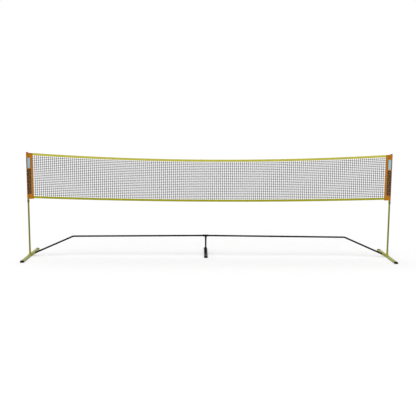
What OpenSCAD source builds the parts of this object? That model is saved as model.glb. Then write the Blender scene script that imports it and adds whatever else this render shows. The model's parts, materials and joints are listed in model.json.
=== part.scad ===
// Free-standing net for games in the garden or hall: a netting panel between
// two telescopic posts, each on a flat foot, tied together by a tubular base
// arch that leans back to a foot of its own behind the net.
// +X runs along the net, +Z is up, and the court side of the arch is -Y.

/* [Net] */
// Distance between the centres of the two posts
post_spacing = 5360; // [4800:20:6100]
// Centre line of the top tape where it meets the sleeves
top_tape_z = 1520; // [1480:1:1530]
// Centre line of the bottom tape where it meets the sleeves
bottom_tape_z = 886; // [870:1:920]
// How far the top tape hangs down at the middle
top_sag = 82; // [0:1:110]
// How far the bottom tape hangs down at the middle
bottom_sag = 41; // [0:1:60]
// Height of the hemmed tapes
tape_h = 32; // [24:1:40]
// Thickness of the tape cloth
cloth_t = 1; // [0.6:0.1:1.2]
// Width and thickness of one string of the netting
string_w = 4; // [3:0.5:5]
// Gaps of the netting along its length
gap_columns = 49; // [20:1:50]
// Gaps of the netting from top to bottom
gap_rows = 6; // [3:1:6]
// Diameter of the cords inside the two tapes
cord_d = 4; // [3:0.5:4]

/* [Sleeves] */
// Height of the top of a sleeve at the post
sleeve_top_z = 1543; // [1540:1:1546]
// Height of the bottom of a sleeve
sleeve_bottom_z = 860; // [850:1:865]
// From the post centre to the inner edge of a sleeve
sleeve_reach = 82; // [60:1:120]
// How far the top edge of a sleeve falls towards the net
sleeve_drop = 9; // [0:1:9]

/* [Posts] */
// Height of the posts with the net fully raised
post_height = 1550; // [1550:1:1560]
// How far the posts can be lowered
travel = 620; // [400:10:620]
// Outer diameter of the sliding upper post
upper_post_d = 28; // [28:0.5:28.5]
// Wall of the upper post
upper_wall = 0.9; // [0.8:0.05:1]
// Outer diameter of the standing lower post
lower_post_d = 25; // [24.5:0.1:25]
// Lower end of the upper post, with the net raised
upper_post_bottom = 840; // [838:1:842]
// Outer diameter of the twist-lock rings
lock_ring_d = 32.2; // [32:0.1:33]

/* [Base] */
// Length of a side foot over its end caps
foot_len = 950; // [700:10:1000]
// Length of the centre foot over its end caps
centre_foot_len = 680; // [500:10:800]
// Width of the flat-oval foot tubes
foot_w = 50; // [44:1:56]
// Height of the flat-oval foot tubes
foot_h = 25; // [22:1:28]
// Wall of the foot tubes
foot_wall = 1.5; // [1:0.1:2]
// Length of the rubber end caps
cap_len = 30; // [24:1:60]
// Outer diameter of the upright sockets
socket_d = 30; // [29:0.5:32]
// Outer diameter of the arch sockets
arch_socket_d = 34; // [30:0.5:38]
// Height of an upright post socket over its foot
post_socket_h = 72; // [50:1:90]
// Length of an angled arch socket, from the foot's centre line
arch_socket_len = 77; // [70:1:110]

/* [Base arch] */
// Lean of the arch away from the upright
arch_tilt = 42; // [30:1:50]
// From a post to the bend in the arch, along the net
bend_inset = 606; // [500:1:800]
// Height of the bends, measured up the leaning arch
bend_rise = 332; // [280:1:340]
// Height of the middle of the arch, measured up the leaning arch
centre_rise = 353; // [340:1:370]
// How far the middle of the arch stands to the right of the net's middle
centre_shift = -52; // [-80:1:80]
// Outer diameter of the arch tubes
arch_d = 25; // [23:0.5:25]
// Wall of the arch tubes
arch_wall = 1.2; // [1:0.1:1.5]
// Centre-line radius of the bends
bend_r = 70; // [50:1:90]
// Length of the reduced end that plugs into the next tube
spigot_len = 50; // [30:1:60]

/* [Hidden] */

$fn = 48;
left = -1;
right = 1;
front = -1;
back = 1;
slack = 1;

post_x = post_spacing / 2;
cap_t = 2;
cap_nose = 4;
cap_edge = 2;
foot_axis_z = foot_h / 2 + cap_t;
foot_top = foot_axis_z + foot_h / 2;
saddle_t = 2.5;
saddle_len = 72;
weld = 3;
push_fit = 0.2;
running_fit = 0.05;

// the arch stands in one plane, which leans back about the feet's centre line
centre_y = centre_rise * sin(arch_tilt);
centre_z = foot_axis_z + centre_rise * cos(arch_tilt);
bend_x = post_x - bend_inset;
centre_foot_y = centre_y - 10;
// the origin is under the middle of the whole object, not under the net
net_line_y = (foot_len / 2 - (centre_foot_y + centre_foot_len / 2)) / 2;

arch_bore = arch_d - 2 * arch_wall;
spigot_d = arch_bore - 0.1;
plug_shoulder = 3;
// where an arch tube's lower end rests in its socket, from the foot's centre line
arch_seat = foot_w / 2 + 14;
centre_socket_h = 48;
side_len = norm([bend_inset, bend_rise]);
side_angle = atan2(bend_rise, bend_inset);
// the wall swells a little in the bend, which laps over both straight arms
bend_swell = 0.1;
bend_overlap = 0.4;
// each bar runs from its bend to the tee in three lengths of tube, and only the
// inner ones differ from side to side
corner_arm = 380;
outer_bar_len = (bend_x - corner_arm) / 2;
tee_len = 90;
tee_d = socket_d + 1;
tee_branch = 46;

lower_bore = lower_post_d - 2.4;
upper_bore = upper_post_d - 2 * upper_wall;
post_cap_h = 10;
post_cap_plug = 15;
upper_post_top = post_height - post_cap_h;
bush_head = 12;
guide_bush_top = upper_post_top - post_cap_plug - travel - 3;
lower_post_top = guide_bush_top - bush_head;
clamp_plug = lower_post_top - upper_post_bottom - 2;
lock_h = 26;
lock_lip = 4;
collar_d = lock_ring_d - 3.4;
shoulder_h = 4;
lock_gap = 0.3;

net_half = post_x - sleeve_reach;
seam = 11;
net_gap = 3.2;
netting_t = 3;
in_hem = 6;
net_strip = tape_h / 2 - 2;
cord_bay = cord_d + 0.4;
pocket_r = upper_post_d / 2 + 0.5;
pocket_t = 2;

olive = [0.66, 0.67, 0.33];
foot_green = [0.65, 0.68, 0.38];
frame_black = [0.13, 0.14, 0.15];
rubber_black = [0.10, 0.10, 0.11];
tape_yellow = [0.82, 0.82, 0.20];
sleeve_orange = [0.82, 0.47, 0.13];
string_grey = [0.22, 0.22, 0.23];
cord_white = [0.85, 0.85, 0.82];

// ---- the two halves of the arch ------------------------------------------

function bar_run(side) = bend_x - side * centre_shift;
function bar_len(side) = norm([bar_run(side), centre_rise - bend_rise]);
function bar_angle(side) = atan2(centre_rise - bend_rise, bar_run(side));
function bend_angle(side) = side_angle - bar_angle(side);
function bend_tangent(side) = bend_r * tan(bend_angle(side) / 2);

// ---- placing -------------------------------------------------------------

// Moves a piece drawn about the net's plane into the object's frame.
module on_net_line() {
  translate([0, net_line_y, 0]) children();
}

// Draws a right-hand piece on the side asked for.
module on_side(side) {
  on_net_line() mirror([side == left ? 1 : 0, 0, 0]) children();
}

// Moves a piece of the arch's middle, drawn about the tee's upright line.
module on_centre() {
  translate([centre_shift, net_line_y, 0]) children();
}

// Lays a piece drawn in the XY plane, X outwards and Y up, into the leaning arch.
module in_arch() {
  translate([0, 0, foot_axis_z]) rotate([90 - arch_tilt, 0, 0]) children();
}

// ---- basic forms ---------------------------------------------------------

module tube(d, bore, len) {
  difference() {
    cylinder(d = d, h = len);
    translate([0, 0, -slack]) cylinder(d = bore, h = len + 2 * slack);
  }
}

// Straight tube with a reduced end that plugs into the next tube.
module plug_tube(len) {
  tube(arch_d, arch_bore, len);
  translate([0, 0, len]) tube(spigot_d, spigot_d - 2 * arch_wall, spigot_len);
  translate([0, 0, len - plug_shoulder])
    tube(arch_bore + push_fit, spigot_d - 2 * arch_wall, plug_shoulder);
}

module flat_oval(w, h) {
  square([w - h, h], center = true);
  for (s = [-1, 1]) translate([s * (w - h) / 2, 0]) circle(d = h);
}

// Flat-oval bar along Y, from y = 0 towards -Y.
module oval_bar(w, h, len) {
  rotate([90, 0, 0]) linear_extrude(len) flat_oval(w, h);
}

// ---- feet ----------------------------------------------------------------

module foot_tube(len) {
  tube_len = len - 2 * cap_nose;
  difference() {
    translate([0, tube_len / 2, 0]) oval_bar(foot_w, foot_h, tube_len);
    translate([0, len, 0]) oval_bar(foot_w - 2 * foot_wall, foot_h - 2 * foot_wall, 2 * len);
  }
}

// End cap with its closed nose at y = 0 and its mouth towards -Y.
module foot_cap() {
  difference() {
    union() {
      translate([0, -cap_edge, 0])
        oval_bar(foot_w + 2 * cap_t, foot_h + 2 * cap_t, cap_len - cap_edge);
      oval_bar(foot_w + 2 * cap_t - 2 * cap_edge, foot_h + 2 * cap_t - 2 * cap_edge, cap_nose);
    }
    translate([0, -cap_nose, 0]) oval_bar(foot_w, foot_h, cap_len);
  }
}

module foot_cap_at(len, end) {
  mirror([0, end == front ? 1 : 0, 0]) translate([0, len / 2, 0]) foot_cap();
}

// Outer form of an upright socket and its weld bead, over a surface at a height.
module socket_form(d, h, surface) {
  translate([0, 0, foot_h / 4]) cylinder(d = d, h = foot_h / 4 + h);
  translate([0, 0, surface]) rotate_extrude()
    polygon([[0, -weld], [d / 2 + weld, -weld], [d / 2 + weld, 0], [d / 2, weld], [0, weld]]);
}

// Outer skin of the pressed saddle that wraps a side foot, before it is opened.
module saddle_skin() {
  translate([0, saddle_len / 2, 0])
    oval_bar(foot_w + 2 * saddle_t, foot_h + 2 * saddle_t, saddle_len);
}

// The saddle's outer form, open underneath.
module saddle_form() {
  difference() {
    saddle_skin();
    translate([-foot_w, -saddle_len, -foot_h]) cube([2 * foot_w, 2 * saddle_len, 0.75 * foot_h]);
  }
}

module side_foot(side) {
  color(foot_green)
    on_side(side) translate([post_x, 0, foot_axis_z]) foot_tube(foot_len);
}

module side_foot_cap(side, end) {
  color(rubber_black)
    on_side(side) translate([post_x, 0, foot_axis_z]) foot_cap_at(foot_len, end);
}

// Upright socket for the post, welded on a saddle round the foot.
module post_socket(side) {
  color(olive)
    on_side(side) translate([post_x, 0, foot_axis_z]) difference() {
      union() {
        socket_form(socket_d, post_socket_h, foot_h / 2 + saddle_t);
        saddle_form();
      }
      translate([0, 0, foot_h / 2])
        cylinder(d = lower_post_d + push_fit, h = post_socket_h + slack);
      translate([0, foot_len / 2, 0]) oval_bar(foot_w, foot_h, foot_len);
    }
}

// Socket for the arch, butted on the inner side of the saddle and the post socket.
module arch_socket(side) {
  color(foot_green)
    on_side(side) difference() {
      in_arch() translate([post_x, 0, 0]) rotate([0, 0, -side_angle]) rotate([0, -90, 0])
        difference() {
          cylinder(d = arch_socket_d, h = arch_socket_len);
          translate([0, 0, arch_seat]) cylinder(d = arch_d + push_fit, h = arch_socket_len);
        }
      translate([post_x, foot_len / 2, foot_axis_z]) oval_bar(foot_w, foot_h, foot_len);
      translate([post_x, 0, foot_axis_z]) {
        socket_form(socket_d, post_socket_h, foot_h / 2 + saddle_t);
        saddle_skin();
      }
      translate([post_x - (foot_w - foot_h) / 2, -foot_w, -foot_h])
        cube([foot_w, 2 * foot_w, 4 * foot_h]);
    }
}

module centre_foot() {
  color(frame_black)
    on_centre() translate([0, centre_foot_y, foot_axis_z]) foot_tube(centre_foot_len);
}

module centre_foot_cap(end) {
  color(rubber_black)
    on_centre() translate([0, centre_foot_y, foot_axis_z]) foot_cap_at(centre_foot_len, end);
}

// Upright socket for the leg, its lower edge fitted over the round edges of the foot.
module centre_socket() {
  color(frame_black)
    on_centre() translate([0, centre_y, foot_axis_z]) difference() {
      socket_form(socket_d, centre_socket_h, foot_h / 2);
      translate([0, 0, foot_h / 2])
        cylinder(d = arch_d + push_fit, h = centre_socket_h + slack);
      translate([0, foot_len / 2, 0]) oval_bar(foot_w, foot_h, foot_len);
    }
}

// ---- base arch -----------------------------------------------------------

// Bent tube: its side arm drops into the arch socket, its other arm starts the bar.
module corner_tube(side) {
  side_arm = side_len - arch_seat;
  tangent = bend_tangent(side);
  turn = bend_angle(side);
  color(frame_black)
    on_side(side) in_arch() translate([bend_x, bend_rise, 0]) {
      rotate([0, 0, -side_angle]) translate([tangent, 0, 0]) rotate([0, 90, 0])
        tube(arch_d, arch_bore, side_arm - tangent);
      rotate([0, 0, 180 - bar_angle(side)]) translate([tangent, 0, 0]) rotate([0, 90, 0])
        plug_tube(corner_arm - tangent);
      rotate([0, 0, -bar_angle(side)]) translate([-tangent, -bend_r, 0])
        rotate([0, 0, 90 - turn - bend_overlap])
          rotate_extrude(angle = turn + 2 * bend_overlap) translate([bend_r, 0])
            difference() {
              circle(d = arch_d + bend_swell);
              circle(d = arch_bore - bend_swell);
            }
    }
}

// Places a tube of the bar at a distance from the bend, pointing to the middle.
module bar_tube(side, start) {
  color(frame_black)
    on_side(side) in_arch() translate([bend_x, bend_rise, 0]) rotate([0, 0, 180 - bar_angle(side)])
      translate([start, 0, 0]) rotate([0, 90, 0]) children();
}

module outer_bar(side) {
  bar_tube(side, corner_arm) plug_tube(outer_bar_len);
}

module inner_bar(side) {
  start = corner_arm + outer_bar_len;
  bar_tube(side, start) tube(arch_d, arch_bore, bar_len(side) - start - 1);
}

// Tee on the middle of the arch: it takes both bars, and the leg from below.
module centre_tee() {
  branch_h = centre_z - tee_branch;
  color(frame_black)
    on_centre() difference() {
      union() {
        translate([-tee_len / 2, centre_y, centre_z]) rotate([0, 90, 0])
          cylinder(d = tee_d, h = tee_len);
        translate([0, centre_y, branch_h]) cylinder(d = socket_d, h = tee_branch);
      }
      for (side = [left, right]) mirror([side == left ? 1 : 0, 0, 0])
        in_arch() translate([0, centre_rise, 0]) rotate([0, 0, -bar_angle(side)]) rotate([0, 90, 0])
          translate([0, 0, 1]) cylinder(d = arch_d + push_fit, h = tee_len);
      translate([0, centre_y, branch_h - slack])
        cylinder(d = arch_d + push_fit, h = tee_branch - arch_d / 2 - 3);
    }
}

module centre_leg() {
  leg_top = centre_z - arch_d / 2 - 5;
  color(frame_black)
    on_centre() translate([0, centre_y, foot_top])
      tube(arch_d, arch_bore, leg_top - foot_top);
}

// ---- posts ---------------------------------------------------------------

module lower_post(side) {
  color(olive)
    on_side(side) translate([post_x, 0, foot_top])
      tube(lower_post_d, lower_bore, lower_post_top - foot_top);
}

// Plastic bush in the top of the lower post; its head guides the upper post.
module guide_bush(side) {
  plug_h = 20;
  bore = 16;
  color(rubber_black)
    on_side(side) translate([post_x, 0, lower_post_top])
      difference() {
        union() {
          cylinder(d = upper_bore - 2 * running_fit, h = bush_head);
          translate([0, 0, -plug_h]) cylinder(d = lower_bore, h = plug_h + slack);
        }
        translate([0, 0, -plug_h - slack])
          cylinder(d = bore, h = plug_h + bush_head + 2 * slack);
      }
}

module upper_post(side) {
  color(olive)
    on_side(side) translate([post_x, 0, upper_post_bottom])
      tube(upper_post_d, upper_bore, upper_post_top - upper_post_bottom);
}

module post_cap(side) {
  r = upper_post_d / 2;
  color(rubber_black)
    on_side(side) translate([post_x, 0, upper_post_top]) rotate_extrude()
      polygon([
        [0, -post_cap_plug], [upper_bore / 2, -post_cap_plug], [upper_bore / 2, 0], [r, 0],
        [r, post_cap_h - 4], [r - 1, post_cap_h - 1.5], [r - 3, post_cap_h], [0, post_cap_h]
      ]);
}

// Bush fixed in the mouth of the upper post; its split lower end grips the lower post.
module clamp_bush(side) {
  collet_h = lock_h - lock_lip + lock_gap + shoulder_h;
  split_w = 1.6;
  split_h = 12;
  color(rubber_black)
    on_side(side) translate([post_x, 0, upper_post_bottom]) difference() {
      union() {
        cylinder(d = upper_bore, h = clamp_plug);
        translate([0, 0, -collet_h]) cylinder(d = collar_d, h = collet_h);
        translate([0, 0, -shoulder_h]) cylinder(d = lock_ring_d, h = shoulder_h);
      }
      translate([0, 0, -collet_h - slack])
        cylinder(d = lower_post_d + 2 * running_fit, h = collet_h + clamp_plug + 2 * slack);
      for (turn = [0, 60, 120]) rotate([0, 0, turn])
        translate([0, 0, -collet_h]) cube([2 * collar_d, split_w, 2 * split_h], center = true);
    }
}

// Ring that is turned by hand to squeeze the split end of the clamp bush.
module lock_ring(side) {
  flutes = 14;
  flute_d = 4;
  flute_out = 1.1;
  flute_end = 3;
  ring_top = upper_post_bottom - shoulder_h - lock_gap;
  color(olive)
    on_side(side) translate([post_x, 0, ring_top - lock_h]) difference() {
      cylinder(d = lock_ring_d, h = lock_h);
      translate([0, 0, -slack])
        cylinder(d = lower_post_d + 0.6, h = lock_h);
      translate([0, 0, lock_lip - lock_gap])
        cylinder(d = collar_d + 2 * running_fit, h = lock_h);
      for (i = [0 : flutes - 1]) rotate([0, 0, i * 360 / flutes])
        translate([lock_ring_d / 2 + flute_out, 0, flute_end])
          cylinder(d = flute_d, h = lock_h - 2 * flute_end, $fn = 16);
    }
}

// ---- net -----------------------------------------------------------------

// Height of a tape's centre line at x: a shallow parabola between the sleeves.
function top_line(x) = top_tape_z - top_sag * (1 - pow(x / net_half, 2));
function bottom_line(x) = bottom_tape_z - bottom_sag * (1 - pow(x / net_half, 2));

// Upright slab, cut out along a polygon drawn in X and Z, between two depths.
module upright_slab(y_low, y_high) {
  translate([0, y_high, 0]) rotate([90, 0, 0]) linear_extrude(y_high - y_low) children();
}

// Strip that follows a tape's line, between two heights over that line.
module tape_strip(is_top, low, high) {
  steps = 24;
  xs = [for (i = [0 : steps]) -net_half + 2 * net_half * i / steps];
  polygon(concat(
    [for (x = xs) [x, (is_top ? top_line(x) : bottom_line(x)) + low]],
    [for (i = [steps : -1 : 0]) [xs[i], (is_top ? top_line(xs[i]) : bottom_line(xs[i])) + high]]
  ));
}

// Folded hem: a closed bay round its cord, and two skirts over the netting's edge.
module hem(is_top) {
  up = is_top ? 1 : -1;
  edge = tape_h / 2;
  bay_out = cord_bay / 2 + cloth_t;
  skirt_out = net_gap / 2 + cloth_t;
  bay_low = edge - cord_bay - 2 * cloth_t;
  color(tape_yellow)
    on_net_line() difference() {
      union() {
        upright_slab(-bay_out, bay_out) strip_between(is_top, up * bay_low, up * edge);
        upright_slab(-skirt_out, skirt_out) strip_between(is_top, -up * edge, up * bay_low);
      }
      upright_slab(-cord_bay / 2, cord_bay / 2)
        strip_between(is_top, up * (bay_low + cloth_t), up * (edge - cloth_t));
      upright_slab(-net_gap / 2, net_gap / 2)
        strip_between(is_top, -up * (edge + slack), up * (bay_low + cloth_t / 2));
    }
}

module strip_between(is_top, a, b) {
  tape_strip(is_top, min(a, b), max(a, b));
}

// Round cord that lies in the bay of a hem, swept along the tape's line.
module hem_cord(is_top) {
  sides = 8;
  rings = 28;
  lift = (is_top ? 1 : -1) * (tape_h / 2 - cloth_t - cord_bay / 2);
  points = [
    for (i = [0 : rings], k = [0 : sides - 1])
      let (x = -net_half + 2 * net_half * i / rings)
        [
          x,
          cord_d / 2 * cos(360 * k / sides),
          (is_top ? top_line(x) : bottom_line(x)) + lift + cord_d / 2 * sin(360 * k / sides)
        ]
  ];
  skin = [
    for (i = [0 : rings - 1], k = [0 : sides - 1])
      let (a = i * sides + k, b = i * sides + (k + 1) % sides)
        each [[a, a + sides, b], [b, a + sides, b + sides]]
  ];
  ends = [
    [for (k = [0 : sides - 1]) k],
    [for (k = [sides - 1 : -1 : 0]) rings * sides + k]
  ];
  color(cord_white) on_net_line() polyhedron(points, concat(skin, ends));
}

// Height of row line j of the netting at x: the rows share out the sag of the tapes.
function row_line(x, j) =
  bottom_line(x) + net_strip + (top_line(x) - bottom_line(x) - 2 * net_strip) * j / gap_rows;

// Outline of the netting, which reaches into both hems and both sleeves.
module netting_outline() {
  reach = net_half + seam;
  xs = [for (i = [0 : gap_columns]) -reach + 2 * reach * i / gap_columns];
  polygon(concat(
    [for (i = [0 : gap_columns]) [xs[i], bottom_line(xs[i]) - in_hem]],
    [for (i = [gap_columns : -1 : 0]) [xs[i], top_line(xs[i]) + in_hem]]
  ));
}

// One gap of the netting, between two upright strings and two rows.
module netting_gap(i, j) {
  pitch = 2 * net_half / gap_columns;
  half = string_w / 2;
  a = -net_half + pitch * i + half;
  b = -net_half + pitch * (i + 1) - half;
  polygon([
    [a, row_line(a, j) + half], [b, row_line(b, j) + half],
    [b, row_line(b, j + 1) - half], [a, row_line(a, j + 1) - half]
  ]);
}

module netting() {
  color(string_grey)
    on_net_line() upright_slab(-netting_t / 2, netting_t / 2) difference() {
      netting_outline();
      for (i = [0 : gap_columns - 1], j = [0 : gap_rows - 1]) netting_gap(i, j);
    }
}

// Cloth sleeve: a pocket round the upper post and a doubled panel to the netting.
module sleeve(side) {
  panel_t = net_gap + 2 * cloth_t;
  height = sleeve_top_z - sleeve_bottom_z;
  color(sleeve_orange)
    on_side(side) difference() {
      translate([post_x, 0, sleeve_bottom_z]) linear_extrude(height) difference() {
        union() {
          circle(r = pocket_r + pocket_t);
          translate([-sleeve_reach, -panel_t / 2]) square([sleeve_reach, panel_t]);
        }
        circle(r = pocket_r);
        translate([-sleeve_reach - slack, -net_gap / 2]) square([seam + 1 + slack, net_gap]);
      }
      upright_slab(-2 * pocket_r, 2 * pocket_r)
        polygon([
          [post_x + 2 * pocket_r, sleeve_top_z], [post_x, sleeve_top_z],
          [post_x - sleeve_reach - slack, sleeve_top_z - sleeve_drop],
          [post_x - sleeve_reach - slack, sleeve_top_z + slack],
          [post_x + 2 * pocket_r, sleeve_top_z + slack]
        ]);
    }
}

side_foot(left);  // foot_left
side_foot(right);  // foot_right
side_foot_cap(left, front);  // foot_cap_left_front
side_foot_cap(left, back);  // foot_cap_left_back
side_foot_cap(right, front);  // foot_cap_right_front
side_foot_cap(right, back);  // foot_cap_right_back
post_socket(left);  // post_socket_left
post_socket(right);  // post_socket_right
arch_socket(left);  // arch_socket_left
arch_socket(right);  // arch_socket_right
lower_post(left);  // lower_post_left
lower_post(right);  // lower_post_right
guide_bush(left);  // guide_bush_left
guide_bush(right);  // guide_bush_right
corner_tube(left);  // corner_tube_left
corner_tube(right);  // corner_tube_right
outer_bar(left);  // outer_bar_left
outer_bar(right);  // outer_bar_right
inner_bar(left);  // inner_bar_left
inner_bar(right);  // inner_bar_right
centre_tee();
centre_leg();
centre_socket();
centre_foot();
centre_foot_cap(front);  // centre_foot_cap_front
centre_foot_cap(back);  // centre_foot_cap_back
upper_post(left);  // upper_post_left
upper_post(right);  // upper_post_right
post_cap(left);  // post_cap_left
post_cap(right);  // post_cap_right
clamp_bush(left);  // clamp_bush_left
clamp_bush(right);  // clamp_bush_right
lock_ring(left);  // lock_ring_left
lock_ring(right);  // lock_ring_right
sleeve(left);  // sleeve_left
sleeve(right);  // sleeve_right
netting();
hem(true);  // top_tape
hem(false);  // bottom_tape
hem_cord(true);  // top_cord
hem_cord(false);  // bottom_cord
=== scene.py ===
"""Looks of the portable net: twine netting, sewn tapes and sleeves, coated tubes, rubber caps."""

import json
import math
import random

import bmesh
import bpy
import numpy as np
from mathutils import Matrix, Vector


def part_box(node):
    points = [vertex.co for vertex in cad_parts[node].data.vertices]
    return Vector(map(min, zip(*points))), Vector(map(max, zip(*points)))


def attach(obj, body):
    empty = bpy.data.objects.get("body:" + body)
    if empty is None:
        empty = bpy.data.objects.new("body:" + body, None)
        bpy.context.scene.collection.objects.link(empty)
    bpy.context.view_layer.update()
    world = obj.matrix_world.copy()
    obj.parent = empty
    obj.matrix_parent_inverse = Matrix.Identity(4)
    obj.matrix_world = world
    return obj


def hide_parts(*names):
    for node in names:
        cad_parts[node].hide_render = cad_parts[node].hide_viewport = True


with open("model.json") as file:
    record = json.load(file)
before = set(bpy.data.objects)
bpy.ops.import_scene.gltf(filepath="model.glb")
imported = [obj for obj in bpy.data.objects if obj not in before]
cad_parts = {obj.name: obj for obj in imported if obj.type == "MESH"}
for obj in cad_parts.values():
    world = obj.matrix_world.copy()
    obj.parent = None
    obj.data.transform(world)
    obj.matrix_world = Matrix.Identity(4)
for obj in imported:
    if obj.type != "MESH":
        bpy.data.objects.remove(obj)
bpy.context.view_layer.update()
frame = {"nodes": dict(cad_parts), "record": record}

# ---- main sizes, in metres: those of the frame, and the net's own ----------------------------

NET_LOW, NET_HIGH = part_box("netting")
NET_Y = (NET_LOW.y + NET_HIGH.y) / 2
POST_LOW, POST_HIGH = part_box("upper_post_right")
POST_X = (POST_LOW.x + POST_HIGH.x) / 2
POST_R = (POST_HIGH.x - POST_LOW.x) / 2
SLEEVE_LOW, SLEEVE_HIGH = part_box("sleeve_right")
SLEEVE_BOTTOM, SLEEVE_TOP = SLEEVE_LOW.z, SLEEVE_HIGH.z
SLEEVE_TALL = SLEEVE_TOP - SLEEVE_BOTTOM
SLEEVE_REACH = POST_X - SLEEVE_LOW.x
TAPE_BOXES = {node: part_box(node) for node in ("top_tape", "bottom_tape")}
TAPE_HALF = TAPE_BOXES["top_tape"][1].x
TAPE_H = 0.032
CLOTH = 0.0011

# each sleeve's name, its side of the net, and the seed of its folds
SLEEVES = (("left", -1, 1.3), ("right", 1, 4.1))

COLOURS = {
    "post": (0.490, 0.490, 0.025),
    # a lighter copy of the post's coat for the post sockets: painted light against the shade at the
    # post's foot
    "saddle": (0.640, 0.620, 0.130),
    "foot": (0.560, 0.580, 0.240),
    "frame": (0.018, 0.021, 0.024),
    "rubber": (0.022, 0.023, 0.024),
    "lock": (0.440, 0.435, 0.060),
    "tape": (0.825, 0.800, 0.300),
    # a darker copy of the tape's colour for the bottom hem: painted shade for its less lit place
    # low on the net
    "tape_in_painted_shade": (0.680, 0.675, 0.110),
    "sleeve": (0.755, 0.480, 0.070),
    "patch": (0.700, 0.790, 0.830),
    "print": (0.080, 0.068, 0.030),
    "twine": (0.120, 0.121, 0.128),
    "cord": (0.820, 0.820, 0.790),
    "thread": (0.740, 0.720, 0.420),
    "dark_thread": (0.420, 0.240, 0.060),
}
SCUFF = (0.130, 0.130, 0.130)
PINHOLE = (0.420, 0.250, 0.100)
WORN_INK = (0.200, 0.190, 0.180)


# ---- materials -------------------------------------------------------------------------------


def linear(colour):
    """An sRGB colour from 0 to 1, as the linear colour that a shader takes."""
    return tuple(c / 12.92 if c <= 0.04045 else ((c + 0.055) / 1.055) ** 2.4 for c in colour)


def darker(colour, share):
    return tuple(c * share for c in colour)


class Paint:
    """A principled material and short calls that add nodes to it."""

    def __init__(self, name, colour, roughness, specular=0.5):
        self.material = bpy.data.materials.new(name)
        self.material.use_nodes = True
        self.tree = self.material.node_tree
        self.shader = self.tree.nodes["Principled BSDF"]
        self.colour = linear(colour)
        self.shader.inputs["Base Color"].default_value = (*self.colour, 1)
        self.shader.inputs["Roughness"].default_value = roughness
        self.shader.inputs["Specular IOR Level"].default_value = specular
        self.coords = self.tree.nodes.new("ShaderNodeTexCoord").outputs["Object"]

    def node(self, kind, **settings):
        made = self.tree.nodes.new(kind)
        for key, value in settings.items():
            setattr(made, key, value)
        return made

    def link(self, source, target):
        self.tree.links.new(source, target)

    def noise(self, scale, detail=3.0, stretch=(1, 1, 1)):
        mapping = self.node("ShaderNodeMapping")
        mapping.inputs["Scale"].default_value = stretch
        self.link(self.coords, mapping.inputs["Vector"])
        noise = self.node("ShaderNodeTexNoise")
        noise.inputs["Scale"].default_value = scale
        noise.inputs["Detail"].default_value = detail
        self.link(mapping.outputs["Vector"], noise.inputs["Vector"])
        return noise.outputs["Fac"]

    def wave(self, scale, axis, distortion=0.0):
        wave = self.node("ShaderNodeTexWave", wave_type="BANDS", bands_direction=axis)
        wave.inputs["Scale"].default_value = scale
        wave.inputs["Distortion"].default_value = distortion
        self.link(self.coords, wave.inputs["Vector"])
        return wave.outputs["Fac"]

    def ramp(self, source, low, high, low_at=0.3, high_at=0.7):
        """A value from low to high as source goes from low_at to high_at."""
        ramp = self.node("ShaderNodeMapRange")
        ramp.inputs["From Min"].default_value = low_at
        ramp.inputs["From Max"].default_value = high_at
        ramp.inputs["To Min"].default_value = low
        ramp.inputs["To Max"].default_value = high
        self.link(source, ramp.inputs["Value"])
        return ramp.outputs["Result"]

    def weave(self, threads, distortion=0.0):
        """The height of a plain weave, whose weft and warp have the same pitch."""
        maths = self.node("ShaderNodeMath", operation="MULTIPLY")
        for n, axis in enumerate("ZX"):
            self.link(self.wave(threads, axis, distortion), maths.inputs[n])
        return maths.outputs["Value"]

    def tint(self, source, other, amount):
        """Mixes the base colour towards another colour where source is high."""
        mix = self.node("ShaderNodeMix", data_type="RGBA")
        base = self.shader.inputs["Base Color"]
        if base.is_linked:
            self.link(base.links[0].from_socket, mix.inputs["A"])
        else:
            mix.inputs["A"].default_value = (*self.colour, 1)
        mix.inputs["B"].default_value = (*linear(other), 1)
        self.link(self.ramp(source, 0.0, amount), mix.inputs["Factor"])
        self.link(mix.outputs["Result"], base)

    def roughen(self, source, low, high):
        self.link(self.ramp(source, low, high), self.shader.inputs["Roughness"])

    def bump(self, source, distance, strength):
        bump = self.node("ShaderNodeBump")
        bump.inputs["Distance"].default_value = distance
        bump.inputs["Strength"].default_value = strength
        normal = self.shader.inputs["Normal"]
        if normal.is_linked:
            self.link(normal.links[0].from_socket, bump.inputs["Normal"])
        self.link(source, bump.inputs["Height"])
        self.link(bump.outputs["Normal"], normal)


def coated_steel(name, colour, dust, specular):
    """Powder coat: a faint orange peel, dull patches from handling, and a little dust."""
    paint = Paint(name, colour, roughness=0.42, specular=specular)
    paint.tint(paint.noise(6.0, detail=5.0), darker(colour, 0.86), amount=0.55)
    paint.tint(paint.noise(38.0, detail=6.0), dust, amount=0.22)
    paint.roughen(paint.noise(18.0, detail=4.0), low=0.38, high=0.56)
    paint.bump(paint.noise(900.0, detail=2.0), distance=0.00012, strength=0.35)
    return paint.material


def moulded(name, colour, roughness):
    """Rubber or plastic: fine moulded grain, with scuffs that show paler."""
    paint = Paint(name, colour, roughness, specular=0.25)
    paint.tint(paint.noise(55.0, detail=8.0), SCUFF, amount=0.20)
    paint.roughen(paint.noise(25.0, detail=4.0), low=roughness - 0.08, high=roughness + 0.12)
    paint.bump(paint.noise(1400.0, detail=2.0), distance=0.0001, strength=0.5)
    return paint.material


def woven(name, colour, threads, sheen=0.08, fade=0.35):
    """Plain-weave cloth: crossing threads, a slub here and there, and uneven fading."""
    paint = Paint(name, colour, roughness=0.82, specular=0.25)
    paint.shader.inputs["Sheen Weight"].default_value = sheen
    paint.shader.inputs["Sheen Roughness"].default_value = 0.45
    paint.tint(paint.noise(9.0, detail=5.0), darker(colour, 0.80), amount=fade)
    paint.tint(paint.noise(260.0, stretch=(1, 1, 6)), darker(colour, 0.72), amount=0.25)
    paint.bump(paint.weave(threads, distortion=0.4), distance=0.0002, strength=0.6)
    paint.bump(paint.noise(420.0, stretch=(1, 1, 5)), distance=0.00025, strength=0.35)
    return paint.material


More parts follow.
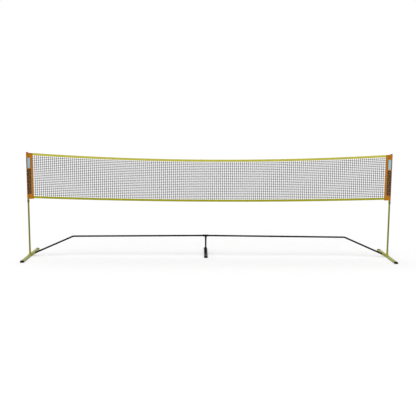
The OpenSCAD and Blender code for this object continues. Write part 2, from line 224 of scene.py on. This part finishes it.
def twisted(name, colour, strand):
    """Twine or cord: the lay of its strands as fine slanted ridges, with paler or darker hairs."""
    paint = Paint(name, colour, roughness=0.7, specular=0.08)
    lay = paint.wave(160.0, "DIAGONAL", distortion=1.5)
    paint.tint(paint.noise(30.0, detail=4.0), darker(colour, 0.6), amount=0.5)
    paint.tint(lay, darker(colour, 0.45), amount=0.55)
    paint.tint(paint.noise(520.0), strand, amount=0.35)
    paint.bump(lay, distance=0.0006, strength=0.8)
    return paint.material


def printed(name, colour):
    """Screen print on cloth: thin ink that lets the weave through, with tiny pinholes."""
    paint = Paint(name, colour, roughness=0.6)
    paint.tint(paint.noise(520.0), PINHOLE, amount=0.18)
    paint.tint(paint.noise(40.0, detail=5.0), WORN_INK, amount=0.35)
    paint.bump(paint.weave(170.0), distance=0.0002, strength=0.5)
    return paint.material


MATERIALS = {
    "post": coated_steel("olive powder coat", COLOURS["post"], (0.60, 0.58, 0.16), 0.20),
    # the post's coat made lighter for the sockets: painted light, not a different paint
    "saddle": coated_steel("olive powder coat with painted light", COLOURS["saddle"], (0.70, 0.68, 0.40), 0.20),
    "foot": coated_steel("yellow-green powder coat", COLOURS["foot"], (0.64, 0.65, 0.42), 0.25),
    "frame": coated_steel("black powder coat", COLOURS["frame"], (0.05, 0.05, 0.05), 0.08),
    "cap": moulded("black rubber", COLOURS["rubber"], 0.7),
    "bush": moulded("black plastic", COLOURS["rubber"], 0.5),
    "lock": moulded("olive plastic", COLOURS["lock"], 0.5),
    "tape": woven("yellow woven tape", COLOURS["tape"], 330.0),
    # the same woven tape, darkened as painted shade for the bottom hem
    "tape_in_painted_shade": woven("yellow woven tape in painted shade", COLOURS["tape_in_painted_shade"], 330.0),
    "sleeve": woven("orange woven polyester", COLOURS["sleeve"], 170.0),
    "patch": woven("light blue patch cloth", COLOURS["patch"], 230.0, sheen=0.05, fade=0.15),
    "print": printed("dark print", COLOURS["print"]),
    "netting": twisted("dark twine", COLOURS["twine"], (0.28, 0.28, 0.29)),
    "cord": twisted("white cord", COLOURS["cord"], (0.66, 0.66, 0.63)),
    "thread": twisted("yellow thread", COLOURS["thread"], (0.60, 0.58, 0.33)),
    "dark_thread": twisted("brown thread", COLOURS["dark_thread"], (0.30, 0.17, 0.05)),
}


# ---- mesh building ---------------------------------------------------------------------------


class Build:
    """Gathers the points and faces of one mesh."""

    def __init__(self):
        self.points = []
        self.faces = []

    def add(self, points, faces):
        start = len(self.points)
        self.points += [tuple(p) for p in points]
        self.faces += [tuple(start + i for i in f) for f in faces]

    def tube(self, rings):
        """Skins a list of closed rings of points, and caps both ends."""
        wide = len(rings[0])
        faces = []
        for r in range(len(rings) - 1):
            for k in range(wide):
                a, b = r * wide + k, r * wide + (k + 1) % wide
                faces.append((a, b, b + wide, a + wide))
        last = (len(rings) - 1) * wide
        faces.append(tuple(reversed(range(wide))))
        faces.append(tuple(range(last, last + wide)))
        self.add([p for ring in rings for p in ring], faces)


def add_object(name, data):
    made = bpy.data.objects.new(name, data)
    bpy.context.scene.collection.objects.link(made)
    return made


def add_piece(name, build, material, body="mast_left", smooth=True):
    """Makes a mesh piece, its faces outward, that rides on a body and has a slot's finish."""
    mesh = bpy.data.meshes.new(name)
    mesh.from_pydata(build.points, [], build.faces)
    mesh.validate()
    outward = bmesh.new()
    outward.from_mesh(mesh)
    bmesh.ops.recalc_face_normals(outward, faces=outward.faces)
    outward.to_mesh(mesh)
    outward.free()
    mesh.update()
    if smooth:
        mesh.shade_smooth()
    mesh.materials.append(MATERIALS[material])
    piece = add_object(name, mesh)
    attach(piece, body)
    return piece


# the waves of hanging cloth: radians per metre, times the seed, and height
RIPPLE_WAVES = ((2.3, 1.0, 0.5), (5.9, 1.7, 0.3), (13.1, 2.9, 0.2))


def ripple(x, seed):
    """A slow, uneven sideways wander of hanging cloth, from -1 to 1."""
    return sum(high * math.sin(rate * x + times * seed) for rate, times, high in RIPPLE_WAVES)


# ---- stitches --------------------------------------------------------------------------------

# each kind of stitch: pitch, length and thickness
HEM_STITCH = (0.0075, 0.0052, 0.0010)
SLEEVE_STITCH = (0.0074, 0.0050, 0.0010)
PATCH_STITCH = (0.0060, 0.0040, 0.0009)

# a slim bar with pointed ends, from its two ends, two edges, top and underside
STITCH_FACES = (
    (0, 2, 4), (2, 1, 4), (0, 4, 3), (4, 1, 3),
    (0, 5, 2), (2, 5, 1), (0, 3, 5), (3, 1, 5),
)


def stitch_row(build, stitch, start, run, face, place):
    """A row of stitches over a run of cloth.

    place gives the skin's point at a distance, which begins at start. face is the side of
    the cloth: -1 at the front, 1 at the back.
    """
    pitch, length, thickness = stitch
    outward = Vector((0, face, 0))
    lift = outward * (thickness / 2)
    for k in range(int(run / pitch)):
        at = start + pitch * (k + 0.5)
        first, last = place(at - length / 2), place(at + length / 2)
        middle = (first + last) / 2
        along = (last - first).normalized() * (length / 2)
        side = along.cross(outward).normalized() * (thickness / 2)
        points = [middle - along, middle + along, middle + side, middle - side]
        build.add(points + [middle + lift, middle - lift], STITCH_FACES)


# ---- tapes -----------------------------------------------------------------------------------

# half of a folded hem's outer side, as (depth, height): skirt, seam, cord bay, crown
HEM_CROWN = 0.0162
HEM_SEAM = 0.0076
HEM_PROFILE = (
    (0.00285, -0.0160),
    (0.00300, -0.0120),
    (0.00270, 0.0040),
    (0.00240, HEM_SEAM),
    (0.00300, 0.0102),
    (0.00350, 0.0126),
    (0.00270, 0.0151),
    (0.00100, HEM_CROWN),
)
HEM_STEPS = 700

# the hem's unevenness: puckers along the seams, and waves of the skirt's edge
PUCKER_PITCH, PUCKER, PUCKER_ABOVE_SEAM = 0.021, 0.00030, 0.25
UNEVEN_RATE, UNEVEN_FAST_RATE, UNEVEN_PUCKER = 431.0, 911.0, 0.00018
EDGE_WAVE_PITCH, EDGE_WAVE, EDGE_WAVE_BELOW = 0.058, 0.00045, -0.011
TAPE_WANDER = 0.0009

# rows of stitches: height, and the point of the profile that has its depth
HEM_STITCH_ROWS = ((HEM_SEAM - 0.001, 3), (-0.0125, 1))
HEM_STITCH_END = 0.004
HEM_STITCH_LIFT = 0.00005

# heights of each hem's centre line, at the middle of the net and at its ends
TAPE_LINES = {
    node: (low.z + TAPE_H / 2, high.z - TAPE_H / 2) for node, (low, high) in TAPE_BOXES.items()
}


def tape_line(node, x):
    """Height of a hem's centre line at x: the shallow curve of its CAD node."""
    middle, end = TAPE_LINES[node]
    return middle + (end - middle) * (x / TAPE_HALF) ** 2


def hem_ring(node, up, x, seed):
    """Closed section of the folded cloth at x: the outer skin, then the inner one."""
    uneven = math.sin(x * UNEVEN_RATE + seed) * 0.5
    uneven += math.sin(x * UNEVEN_FAST_RATE + 2 * seed) * 0.5
    pucker = PUCKER * math.sin(x * 2 * math.pi / PUCKER_PITCH + seed) + UNEVEN_PUCKER * uneven
    edge_wave = EDGE_WAVE * math.sin(x * 2 * math.pi / EDGE_WAVE_PITCH + seed)
    outer, inner = [], []
    for depth, height in HEM_PROFILE:
        depth += pucker * (1.0 if height < HEM_SEAM else PUCKER_ABOVE_SEAM)
        height += edge_wave if height < EDGE_WAVE_BELOW else 0.0
        outer.append((depth, height))
        inner.append((max(depth - CLOTH, 0.0), min(height, HEM_CROWN - CLOTH)))
    ring = [(-d, h) for d, h in outer] + [(d, h) for d, h in reversed(outer)]
    ring += [(d, h) for d, h in inner] + [(-d, h) for d, h in reversed(inner[:-1])]
    wander = TAPE_WANDER * ripple(x, seed)
    line = tape_line(node, x)
    return [Vector((x, NET_Y + wander + d, line + up * h)) for d, h in ring]


def hem_skin_point(node, up, x, seed, face, row):
    """The point of a hem's front or back skin at x, on a row of stitches."""
    height, index = row
    if face > 0:
        index = 2 * len(HEM_PROFILE) - 1 - index
    depth = hem_ring(node, up, x, seed)[index].y
    return Vector((x, depth + face * HEM_STITCH_LIFT, tape_line(node, x) + up * height))


def hem_stitches(node, up, seed):
    """Two rows of stitches on each face: one under the cord bay, one at the skirt's edge."""
    build = Build()
    for face in (-1, 1):
        for row in HEM_STITCH_ROWS:
            stitch_row(
                build, HEM_STITCH, -TAPE_HALF + HEM_STITCH_END, 2 * (TAPE_HALF - HEM_STITCH_END),
                face, lambda x: hem_skin_point(node, up, x, seed, face, row),
            )
    return add_piece(f"{node}_stitching", build, "thread", smooth=False)


def make_tape(node, up, seed, material):
    """A hem of cloth folded over a cord, its crown upward or downward, with its stitches."""
    places = [-TAPE_HALF + 2 * TAPE_HALF * k / HEM_STEPS for k in range(HEM_STEPS + 1)]
    build = Build()
    build.tube([hem_ring(node, up, x, seed) for x in places])
    piece = add_piece(f"{node}_cloth", build, material)
    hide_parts(node)
    sewn = hem_stitches(node, up, seed)


# ---- netting ---------------------------------------------------------------------------------

NET_COLUMNS = 179
NET_ROWS = 23
NET_EDGE_IN_SLEEVE = 0.002
NET_EDGE_IN_HEM = 0.004
NET_SWAY = 0.004
KNOT_JITTER = 0.0006
JITTER_SEED, KNOT_SIZE_SEED = 7, 11
TWINE_WIDTH = 0.0074
TWINE_DEPTH = 0.0038
TWINE_SIDES = 6
KNOT_SIDES = 8
KNOT_WIDTH = 0.74 * TWINE_WIDTH
KNOT_DEPTH = 0.85 * TWINE_DEPTH
KNOT_SIZES = (0.88, 1.12)


def netting_knots():
    """Places of the knots, as an array of columns by rows by XYZ.

    A knot strays and sways the more, the further it is from the hems and the sleeves.
    """
    chance = np.random.default_rng(JITTER_SEED)
    half = TAPE_HALF + NET_EDGE_IN_SLEEVE
    knots = np.zeros((NET_COLUMNS + 1, NET_ROWS + 1, 3))
    for i in range(NET_COLUMNS + 1):
        x = -half + 2 * half * i / NET_COLUMNS
        low = tape_line("bottom_tape", x) + TAPE_H / 2 - NET_EDGE_IN_HEM
        high = tape_line("top_tape", x) - TAPE_H / 2 + NET_EDGE_IN_HEM
        ease = min(1.0, 6 * (1 - abs(x) / TAPE_HALF) + 0.1) if 0 < i < NET_COLUMNS else 0.0
        for j in range(NET_ROWS + 1):
            share = j / NET_ROWS
            free = math.sin(math.pi * share) * ease
            stray = [KNOT_JITTER * chance.uniform(-1, 1) for _ in "xyz"]
            knots[i, j] = (
                x + free * stray[0],
                NET_Y + free * (NET_SWAY * ripple(x, 3.0 + 1.3 * share) + stray[1]),
                low + (high - low) * share + free * stray[2],
            )
    return knots


def twine(build, path, across):
    """One string of oval section through the points of path, closed at its ends."""
    rings = []
    for point in path:
        ring = []
        for k in range(TWINE_SIDES):
            turn = 2 * math.pi * (k + 0.5) / TWINE_SIDES
            wide, deep = TWINE_WIDTH / 2 * math.cos(turn), TWINE_DEPTH / 2 * math.sin(turn)
            ring.append(Vector(point) + Vector(across) * wide + Vector((0, deep, 0)))
        rings.append(ring)
    build.tube(rings)


def knot(build, at, size):
    """A small flattened lump where two strings are knotted."""
    wide, deep = size * KNOT_WIDTH, size * KNOT_DEPTH
    turns = [2 * math.pi * k / KNOT_SIDES for k in range(KNOT_SIDES)]
    points = [(wide * math.cos(turn), 0.0, wide * math.sin(turn)) for turn in turns]
    points += [(0, -deep, 0), (0, deep, 0)]
    front, back = KNOT_SIDES, KNOT_SIDES + 1
    faces = []
    for k in range(KNOT_SIDES):
        beside = (k + 1) % KNOT_SIDES
        faces += [(k, beside, front), (beside, k, back)]
    build.add([Vector(at) + Vector(p) for p in points], faces)


def make_netting():
    """The net's strings, from side to side and from hem to hem, with their knots."""
    chance = random.Random(KNOT_SIZE_SEED)
    knots = netting_knots()
    build = Build()
    for i in range(NET_COLUMNS + 1):
        twine(build, knots[i, :], (1, 0, 0))
    for j in range(NET_ROWS + 1):
        twine(build, knots[:, j], (0, 0, 1))
    for i in range(1, NET_COLUMNS):
        for j in range(1, NET_ROWS):
            knot(build, knots[i, j], chance.uniform(*KNOT_SIZES))
    piece = add_piece("netting_twine", build, "netting")
    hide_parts("netting")


# ---- sleeves ---------------------------------------------------------------------------------
# A place on a sleeve is given by its distance inward from the post's centre, its depth from
# the net's plane, and its height. face is -1 at the front and 1 at the back.

# the pocket round the post, the seam beside it, and half the thickness of the flat panel
POCKET_R = POST_R + 0.0021
POCKET_START = math.radians(28)
POCKET_STEPS = 18
SEAM_AT = 0.0190
EDGE_HALF = 0.0030
SEAM_DIP = 0.0004
PANEL_POINTS, PANEL_STEP = 22, 0.003
SLEEVE_DROP = 0.009

# the cloth's unevenness: wrinkles where the net pulls, slack folds, raised hems and their seams
PANEL_EDGE = 0.012
WRINKLE, WRINKLE_RATE_UP, WRINKLE_RATE_IN = 0.0012, 150, 55
SLACK, SLACK_RATE_UP, SLACK_RATE_IN, SLACK_FAST_RATE = 0.0019, 11.0, 24, 27.0
TOP_PULL_AT, BOTTOM_PULL_AT, PULL_SPREAD = 0.020, 0.030, 0.060
SLEEVE_HEM, HEM_RAISE = 0.013, 0.0007
GROOVE_AT, GROOVE, GROOVE_WIDTH = 0.0135, 0.0005, 0.0016

# rows of points: shares of the groove's height near each hem, and the count between them
HEM_SHARES = (0.0, 0.35, 0.7, 0.92, 1.0, 1.1, 1.35, 1.7)
MIDDLE_ROWS = 96

# stitches: upright seams, and a row in each hem, which keep clear of the corners
SEAMS = (SEAM_AT + 0.0015, SLEEVE_REACH - 0.005, SLEEVE_REACH - 0.012)
SEAM_START, SEAM_SHORT = 0.008, 0.024
HEM_ROW_SHARE = 0.0150 / SLEEVE_TALL
HEM_ROW_START, HEM_ROW_SHORT = 0.003, 0.004


def sleeve_half_section():
    """(inward, depth) along one face, from the net's edge to the post's outer side."""
    panel = [SLEEVE_REACH - PANEL_STEP * k for k in range(PANEL_POINTS)]
    flat = [(inward, EDGE_HALF) for inward in panel if inward > SEAM_AT]
    arc = []
    for k in range(POCKET_STEPS + 1):
        turn = POCKET_START + (math.pi - POCKET_START) * k / POCKET_STEPS
        arc.append((POCKET_R * math.cos(turn), POCKET_R * math.sin(turn)))
    return flat + [(SEAM_AT, EDGE_HALF - SEAM_DIP)] + arc


def clamped(value):
    return max(0.0, min(1.0, value))


def bell(distance, spread):
    """1 at no distance, and falling to 0 beyond the spread."""
    return math.exp(-((distance / spread) ** 2))


def sleeve_depth(inward, height, face, seed):
    """Extra outward depth of the cloth there: hems, pulled wrinkles and slack folds."""
    top = SLEEVE_TOP - height
    bottom = height - SLEEVE_BOTTOM
    edge = min(top, bottom)
    panel = clamped((inward - SEAM_AT) / PANEL_EDGE) * clamped((SLEEVE_REACH - inward) / PANEL_EDGE)
    pull = bell(top - TOP_PULL_AT, PULL_SPREAD) + bell(bottom - BOTTOM_PULL_AT, PULL_SPREAD)
    slant = height * WRINKLE_RATE_UP + inward * WRINKLE_RATE_IN
    wrinkle = WRINKLE * pull * math.sin(slant + seed)
    slack = SLACK * math.sin(height * SLACK_RATE_UP + inward * SLACK_RATE_IN + seed)
    slack *= face * math.sin(height * SLACK_FAST_RATE + seed * 2.1)
    hem = HEM_RAISE if edge < SLEEVE_HEM else 0.0
    groove = GROOVE * bell(edge - GROOVE_AT, GROOVE_WIDTH)
    return panel * (wrinkle + slack) + hem - groove


def sleeve_point(side, inward, depth, height, face, seed, inset=0.0):
    """A point of the sleeve's outer skin, or inset below it."""
    extra = sleeve_depth(inward, height, face, seed)
    if inward < SEAM_AT:
        radius = math.hypot(inward, depth)
        scale = (radius + max(extra, 0.0) - inset) / radius
        inward, depth = inward * scale, depth * scale
    else:
        depth = depth + extra - inset
    return Vector((side * (POST_X - inward), NET_Y + face * depth, height))


def sleeve_height(share, inward):
    """Height at a share of the sleeve, whose top edge falls towards the net."""
    top = SLEEVE_TOP - SLEEVE_DROP * max(0.0, inward) / SLEEVE_REACH
    return SLEEVE_BOTTOM + (top - SLEEVE_BOTTOM) * share


def sleeve_shares():
    """Shares of the height at which the cloth has a row of points, closer at the hems."""
    near = [GROOVE_AT / SLEEVE_TALL * share for share in HEM_SHARES]
    span = 1 - 2 * near[-1]
    middle = [near[-1] + span * k / MIDDLE_ROWS for k in range(1, MIDDLE_ROWS)]
    return near + middle + [1 - share for share in reversed(near)]


def sleeve_stitches(name, side, seed):
    """Seams: beside the pocket, twice at the net's edge, and along both hems, on both faces."""
    build = Build()
    for face in (-1, 1):
        for seam in SEAMS:
            stitch_row(
                build, SLEEVE_STITCH, SLEEVE_BOTTOM + SEAM_START, SLEEVE_TALL - SEAM_SHORT, face,
                lambda height: sleeve_point(side, seam, EDGE_HALF, height, face, seed),
            )
        for share in (HEM_ROW_SHARE, 1 - HEM_ROW_SHARE):
            stitch_row(
                build, SLEEVE_STITCH, SEAM_AT + HEM_ROW_START,
                SLEEVE_REACH - SEAM_AT - HEM_ROW_SHORT, face,
                lambda inward: sleeve_point(
                    side, inward, EDGE_HALF, sleeve_height(share, inward), face, seed
                ),
            )
    return add_piece(f"sleeve_stitching_{name}", build, "dark_thread", smooth=False)


def make_sleeve(name, side, seed):
    """A cloth sleeve: a pocket round the post and a doubled panel that holds the net."""
    half = sleeve_half_section()
    outer = [(i, d, -1) for i, d in half] + [(i, d, 1) for i, d in reversed(half[:-1])]
    skins = [(*place, 0.0) for place in outer] + [(*place, CLOTH) for place in reversed(outer)]
    rings = []
    for share in sleeve_shares():
        ring = [
            sleeve_point(side, i, d, sleeve_height(share, i), face, seed, inset)
            for i, d, face, inset in skins
        ]
        # the right sleeve is a mirror image, so its rings run the other way round
        rings.append(ring if side < 0 else ring[::-1])
    build = Build()
    build.tube(rings)
    piece = add_piece(f"sleeve_cloth_{name}", build, "sleeve")
    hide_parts(f"sleeve_{name}")
    sewn = sleeve_stitches(name, side, seed)


# ---- patch and print on the sleeves ----------------------------------------------------------

# from and to, inward from the post's centre, and heights
PATCH_SPAN = (0.0035, 0.0435)
PATCH_Z = (1.318, 1.466)
MOTIF_SPAN = (-0.0055, 0.0505)
MOTIF_Z = (0.930, 1.312)

PATCH_LIFT, PATCH_THICK = 0.0010, 0.0009
PATCH_HEM = 0.0035
PATCH_STITCH_LIFT = 0.0011
PATCH_CELLS = (20, 30)
PRINT_LIFT, PRINT_THICK = 0.0005, 0.0004

# the print: slanted blocks, each with a window, and a border on both sides of the patch
BLOCKS = 7
BLOCK_SLANT = 0.009
BLOCK_GAP = 0.0055
BLOCK_CELLS = (22, 12)
WINDOW_ROWS = (4, 8)
WINDOW_COLUMN, WINDOW_WIDTH, WINDOW_SHIFT = 8, 5, 2
BORDER_GAP = 0.001
BORDER_CELLS = (4, 30)

# how far what lies on a sleeve sinks with the cloth
DEEPEST_DIP = 0.001


def skin_point(side, inward, height, seed, lift):
    """A point just over the front skin of a sleeve."""
    pocket_edge = POCKET_R * math.cos(POCKET_START)
    if inward >= SEAM_AT:
        depth = EDGE_HALF + max(sleeve_depth(inward, height, -1, seed), -DEEPEST_DIP)
    elif inward > pocket_edge:
        near = (inward - pocket_edge) / (SEAM_AT - pocket_edge)
        depth = (1 - near) * POCKET_R * math.sin(POCKET_START) + near * EDGE_HALF
    else:
        depth = math.sqrt(max(POCKET_R**2 - inward**2, 0.0))
    return Vector((side * (POST_X - inward), NET_Y - depth - lift, height))


def rectangle(span, heights, cells, slant=0.0):
    """Rows of (inward, height) over a rectangle, whose inner end is raised by slant.

    cells is the number of cells across and up.
    """
    (low_in, high_in), (low_z, high_z), (across, along) = span, heights, cells
    return [
        [
            (
                low_in + (high_in - low_in) * k / across,
                low_z + (high_z - low_z) * r / along + slant * k / across,
            )
            for k in range(across + 1)
        ]
        for r in range(along + 1)
    ]


def draped(build, side, seed, outline, lift, thickness, window=None):
    """A thin flat shape laid on a sleeve's front.

    outline gives rows of (inward, height). window, if any, is left open: it is
    (first row, end row, first column, end column) of the cells between the points.
    """
    wide, tall = len(outline[0]), len(outline)
    under = wide * tall
    points = [
        skin_point(side, inward, height, seed, above)
        for above in (lift, lift - thickness)
        for row in outline
        for inward, height in row
    ]

    def kept(r, k):
        inside = 0 <= r < tall - 1 and 0 <= k < wide - 1
        return inside and not (window and window[0] <= r < window[1] and window[2] <= k < window[3])

    faces = []
    for r in range(tall - 1):
        for k in range(wide - 1):
            if not kept(r, k):
                continue
            a = r * wide + k
            corners = (a, a + 1, a + wide + 1, a + wide)
            faces.append(corners)
            faces.append(tuple(under + c for c in reversed(corners)))
            beyond = ((r - 1, k), (r, k + 1), (r + 1, k), (r, k - 1))
            for n, cell in enumerate(beyond):
                if not kept(*cell):
                    start, end = corners[n], corners[(n + 1) % 4]
                    faces.append((start, under + start, under + end, end))
    used = sorted({i for face in faces for i in face})
    place = {i: n for n, i in enumerate(used)}
    faces = [tuple(place[i] for i in face) for face in faces]
    if side > 0:  # a mirror image, so its faces run the other way round
        faces = [face[::-1] for face in faces]
    build.add([points[i] for i in used], faces)


def make_patch(name, side, seed):
    """A bare patch of cloth, stitched on all round."""
    (low, high), (bottom, top) = PATCH_SPAN, PATCH_Z
    build = Build()
    draped(build, side, seed, rectangle(PATCH_SPAN, PATCH_Z, PATCH_CELLS), PATCH_LIFT, PATCH_THICK)
    piece = add_piece(f"patch_{name}", build, "patch")

    def skin(inward, height):
        return skin_point(side, inward, height, seed, PATCH_STITCH_LIFT)

    border = Build()
    for row in (bottom + PATCH_HEM, top - PATCH_HEM):
        run = high - low - 2 * PATCH_HEM
        stitch_row(border, PATCH_STITCH, low + PATCH_HEM, run, -1, lambda at: skin(at, row))
    for seam in (low + PATCH_HEM, high - PATCH_HEM):
        run = top - bottom - 2 * PATCH_HEM
        stitch_row(border, PATCH_STITCH, bottom + PATCH_HEM, run, -1, lambda at: skin(seam, at))
    sewn = add_piece(f"patch_stitching_{name}", border, "cord", smooth=False)


def make_motif(name, side, seed):
    """A plain dark print down the sleeve: blocks with small windows, and a border by the patch."""
    low, high = MOTIF_SPAN
    pitch = (MOTIF_Z[1] - BLOCK_SLANT - MOTIF_Z[0]) / BLOCKS
    build = Build()
    for k in range(BLOCKS):
        bottom = MOTIF_Z[0] + pitch * k
        heights = (bottom, bottom + pitch - BLOCK_GAP)
        outline = rectangle(MOTIF_SPAN, heights, BLOCK_CELLS, BLOCK_SLANT)
        column = WINDOW_COLUMN + WINDOW_SHIFT * (k % 2)
        window = (*WINDOW_ROWS, column, column + WINDOW_WIDTH)
        draped(build, side, seed, outline, PRINT_LIFT, PRINT_THICK, window)
    for span in ((low, PATCH_SPAN[0] - BORDER_GAP), (PATCH_SPAN[1] + BORDER_GAP, high)):
        outline = rectangle(span, PATCH_Z, BORDER_CELLS)
        draped(build, side, seed, outline, PRINT_LIFT, PRINT_THICK)
    add_piece(f"sleeve_print_{name}", build, "print")


# ---- finish of the CAD nodes -----------------------------------------------------------------


def finish_nodes():
    """Gives every CAD node the material of its slot, and the post sockets a lighter copy of the
    post's coat: painted light against the shade at the post's foot.
    """
    slots = {s["node"]: s["material_slot"] for s in frame["record"]["subparts"]}
    for name, node in frame["nodes"].items():
        # the post sockets take the lighter copy of the post's coat, which is painted light
        finish = "saddle" if name.startswith("post_socket") else slots[name]
        node.data.materials.clear()
        node.data.materials.append(MATERIALS[finish])


# ---- stage, light and camera -----------------------------------------------------------------

FLOOR_HALF = 60.0
FLOOR_GREY = 0.80
FLOOR_LIFT = 0.100
SKY_LIGHT = 0.50

# the suns: strength, and the direction in which each shines
SUNS = {
    "key": (1.80, (0.25, -0.10, -1.0)),
    "front": (0.60, (0.25, 1.0, -0.55)),
}
SUN_ANGLE = 60

# the camera, from a perspective fit to the posts, feet and tapes, in a 416 x 416 frame
IMAGE_SIDE = 416
CAMERA_AT = (-0.1580, -9.8033, 2.0923)
CAMERA_PITCH = 7.9197
CAMERA_YAW = 0.7897
CAMERA_ROLL = -0.3665
FOCAL_PIXELS = 662.89


def seen_by(tree, *rays):
    """1 for a ray of the kinds named, and 0 for the rest."""
    path = tree.nodes.new("ShaderNodeLightPath")
    seen = path.outputs[rays[0]]
    for ray in rays[1:]:
        either = tree.nodes.new("ShaderNodeMath")
        either.operation = "MAXIMUM"
        tree.links.new(seen, either.inputs[0])
        tree.links.new(path.outputs[ray], either.inputs[1])
        seen = either.outputs["Value"]
    return seen


def make_floor():
    """A large pale floor that the camera sees as white where it is lit."""
    material = bpy.data.materials.new("pale floor")
    material.use_nodes = True
    tree = material.node_tree
    shader = tree.nodes["Principled BSDF"]
    shader.inputs["Base Color"].default_value = (FLOOR_GREY, FLOOR_GREY, FLOOR_GREY, 1)
    shader.inputs["Roughness"].default_value = 0.9
    shader.inputs["Specular IOR Level"].default_value = 0.0
    shader.inputs["Emission Color"].default_value = (1, 1, 1, 1)
    lift = tree.nodes.new("ShaderNodeMath")
    lift.operation = "MULTIPLY"
    lift.inputs[1].default_value = FLOOR_LIFT
    tree.links.new(seen_by(tree, "Is Camera Ray", "Is Glossy Ray"), lift.inputs[0])
    tree.links.new(lift.outputs["Value"], shader.inputs["Emission Strength"])
    corners = [(x * FLOOR_HALF, y * FLOOR_HALF, 0) for x, y in ((-1, -1), (1, -1), (1, 1), (-1, 1))]
    mesh = bpy.data.meshes.new("floor")
    mesh.from_pydata(corners, [], [(0, 1, 2, 3)])
    mesh.materials.append(material)
    add_object("floor", mesh)


def make_world():
    """A white backdrop for the camera and for reflections, and even light for the rest."""
    world = bpy.data.worlds.new("studio")
    world.use_nodes = True
    tree = world.node_tree
    background = tree.nodes["Background"]
    background.inputs["Color"].default_value = (1, 1, 1, 1)
    seen = seen_by(tree, "Is Camera Ray", "Is Glossy Ray", "Is Transmission Ray")
    strength = tree.nodes.new("ShaderNodeMapRange")
    strength.inputs["To Min"].default_value = SKY_LIGHT
    strength.inputs["To Max"].default_value = 1.0
    tree.links.new(seen, strength.inputs["Value"])
    tree.links.new(strength.outputs["Result"], background.inputs["Strength"])
    bpy.context.scene.world = world


def make_suns():
    for name, (energy, direction) in SUNS.items():
        sun = bpy.data.lights.new(name, "SUN")
        sun.energy = energy
        sun.angle = math.radians(SUN_ANGLE)
        lamp = add_object(name, sun)
        lamp.rotation_mode = "QUATERNION"
        lamp.rotation_quaternion = Vector(direction).to_track_quat("-Z", "Y")


def make_camera():
    """Looks along +Y, then yaws to the right, pitches down and rolls."""
    camera = bpy.data.cameras.new("camera")
    camera.sensor_width = 36.0
    camera.lens = FOCAL_PIXELS * camera.sensor_width / IMAGE_SIDE
    camera.clip_end = 200.0
    turn = (
        Matrix.Rotation(-math.radians(CAMERA_YAW), 4, "Z")
        @ Matrix.Rotation(math.radians(90 - CAMERA_PITCH), 4, "X")
        @ Matrix.Rotation(-math.radians(CAMERA_ROLL), 4, "Z")
    )
    eye = add_object("camera", camera)
    eye.matrix_world = Matrix.Translation(CAMERA_AT) @ turn
    bpy.context.scene.camera = eye


def make_scene():
    make_camera()
    make_world()
    make_floor()
    make_suns()
    finish_nodes()
    make_netting()
    make_tape("top_tape", 1, 0.7, "tape")
    # the bottom hem takes the darker copy of the tape, which is painted shade
    make_tape("bottom_tape", -1, 2.2, "tape_in_painted_shade")
    for sleeve in SLEEVES:
        make_sleeve(*sleeve)
        make_patch(*sleeve)
        make_motif(*sleeve)
    bpy.context.scene.view_settings.view_transform = "Standard"


make_scene()
